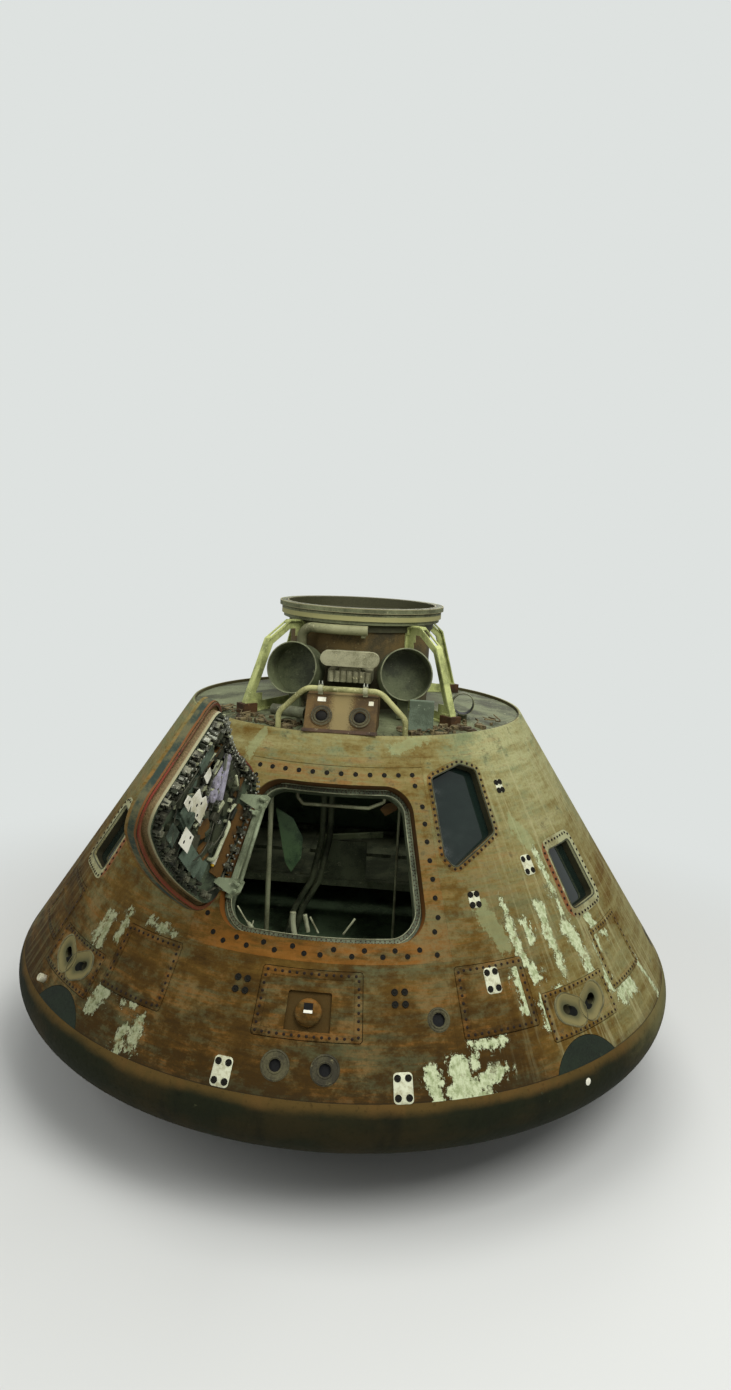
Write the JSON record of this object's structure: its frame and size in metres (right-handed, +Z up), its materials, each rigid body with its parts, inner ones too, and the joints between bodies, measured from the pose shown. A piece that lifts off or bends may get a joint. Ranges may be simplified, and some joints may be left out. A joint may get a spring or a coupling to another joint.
{
  "type": "space capsule",
  "caption": "Blunt cone space capsule standing on its round heat shield, with a hinged side hatch standing open, windows, and a bare forward deck with tunnel and docking ring.",
  "frame": {"origin": "lowest point of the heat shield, on the cone's axis", "axes": "+Z up along the cone's axis, -Y towards the side hatch, +X to the right of someone who looks at the hatch"},
  "size_m": [3.9117, 4.1439, 2.6961],
  "materials": {
    "ablator": "scorched brown ablator, rough, with grey-green weathering",
    "surround_ablator": "orange-brown ablator, rough",
    "char": "charred ablator, dark and rough",
    "bare_steel": "bare worn metal",
    "frame_metal": "pale grey bare metal, satin",
    "pane": "dark tinted glass",
    "seal": "red rubber seal, matt",
    "primer_green": "yellow-green primer, worn",
    "olive_metal": "dark olive paint, dull",
    "ring_metal": "bare and scorched metal",
    "deck_paint": "yellowed cream paint",
    "rusty_steel": "rusted brown",
    "cabin_paint": "dark grey cabin paint",
    "couch_metal": "pale worn metal"
  },
  "bodies": {
    "capsule": {"access_covers": "ablator", "aft_heat_shield": "char", "antenna_covers": "char", "cabin_floor": "cabin_paint", "cabin_hoses": "olive_metal", "cabin_rails": "couch_metal", "centre_access_cover": "ablator", "couch_frame": "couch_metal", "couch_struts": "couch_metal", "deck_box": "primer_green", "deck_canister": "olive_metal", "deck_duct": "olive_metal", "docking_ring": "ring_metal", "doorway_frame": "frame_metal", "elbow_duct": "olive_metal", "equipment_bay": "cabin_paint", "forward_deck": "deck_paint", "forward_ring": "ablator", "forward_window_frames": "surround_ablator", "forward_window_panes": "pane", "gusset_feet": "rusty_steel", "gussets": "primer_green", "hatch_surround": "surround_ablator", "hinge_brackets": "bare_steel", "instrument_console": "cabin_paint", "left_lower_rear_wall": "ablator", "left_lower_side_wall": "ablator", "left_mortar_tube": "olive_metal", "left_rear_wall": "ablator", "left_side_wall": "ablator", "left_window_wall": "ablator", "lower_front_wall": "ablator", "pitch_engine_box": "surround_ablator", "rear_access_covers": "ablator", "recovery_loop": "primer_green", "right_lower_rear_wall": "ablator", "right_lower_side_wall": "ablator", "right_mortar_tube": "olive_metal", "right_rear_wall": "ablator", "right_side_wall": "ablator", "right_window_wall": "ablator", "roll_engine_panels": "ablator", "side_access_covers": "ablator", "side_window_frames": "surround_ablator", "side_window_panes": "pane", "sling_pack": "olive_metal", "tunnel_wall": "ring_metal", "umbilical_cover": "ablator", "vent_boss": "bare_steel", "wall_ports": "bare_steel", "yaw_ports": "bare_steel"},
    "hatch": {"hatch_gearbox": "bare_steel", "hatch_handle": "bare_steel", "hatch_inner_plate": "frame_metal", "hatch_latches": "bare_steel", "hatch_lever": "bare_steel", "hatch_seal": "seal", "hatch_shell": "ablator", "hatch_vent_valve": "bare_steel", "hatch_window_glass": "pane"}
  },
  "joints": [
    {"name": "hatch_hinge", "type": "hinge", "parent": "capsule", "child": "hatch", "pos_m": [-0.49073, -1.28511, 1.55993], "axis": [0.1943, 0.5088, 0.8387], "range_deg": [0, 100.5]}
  ]
}
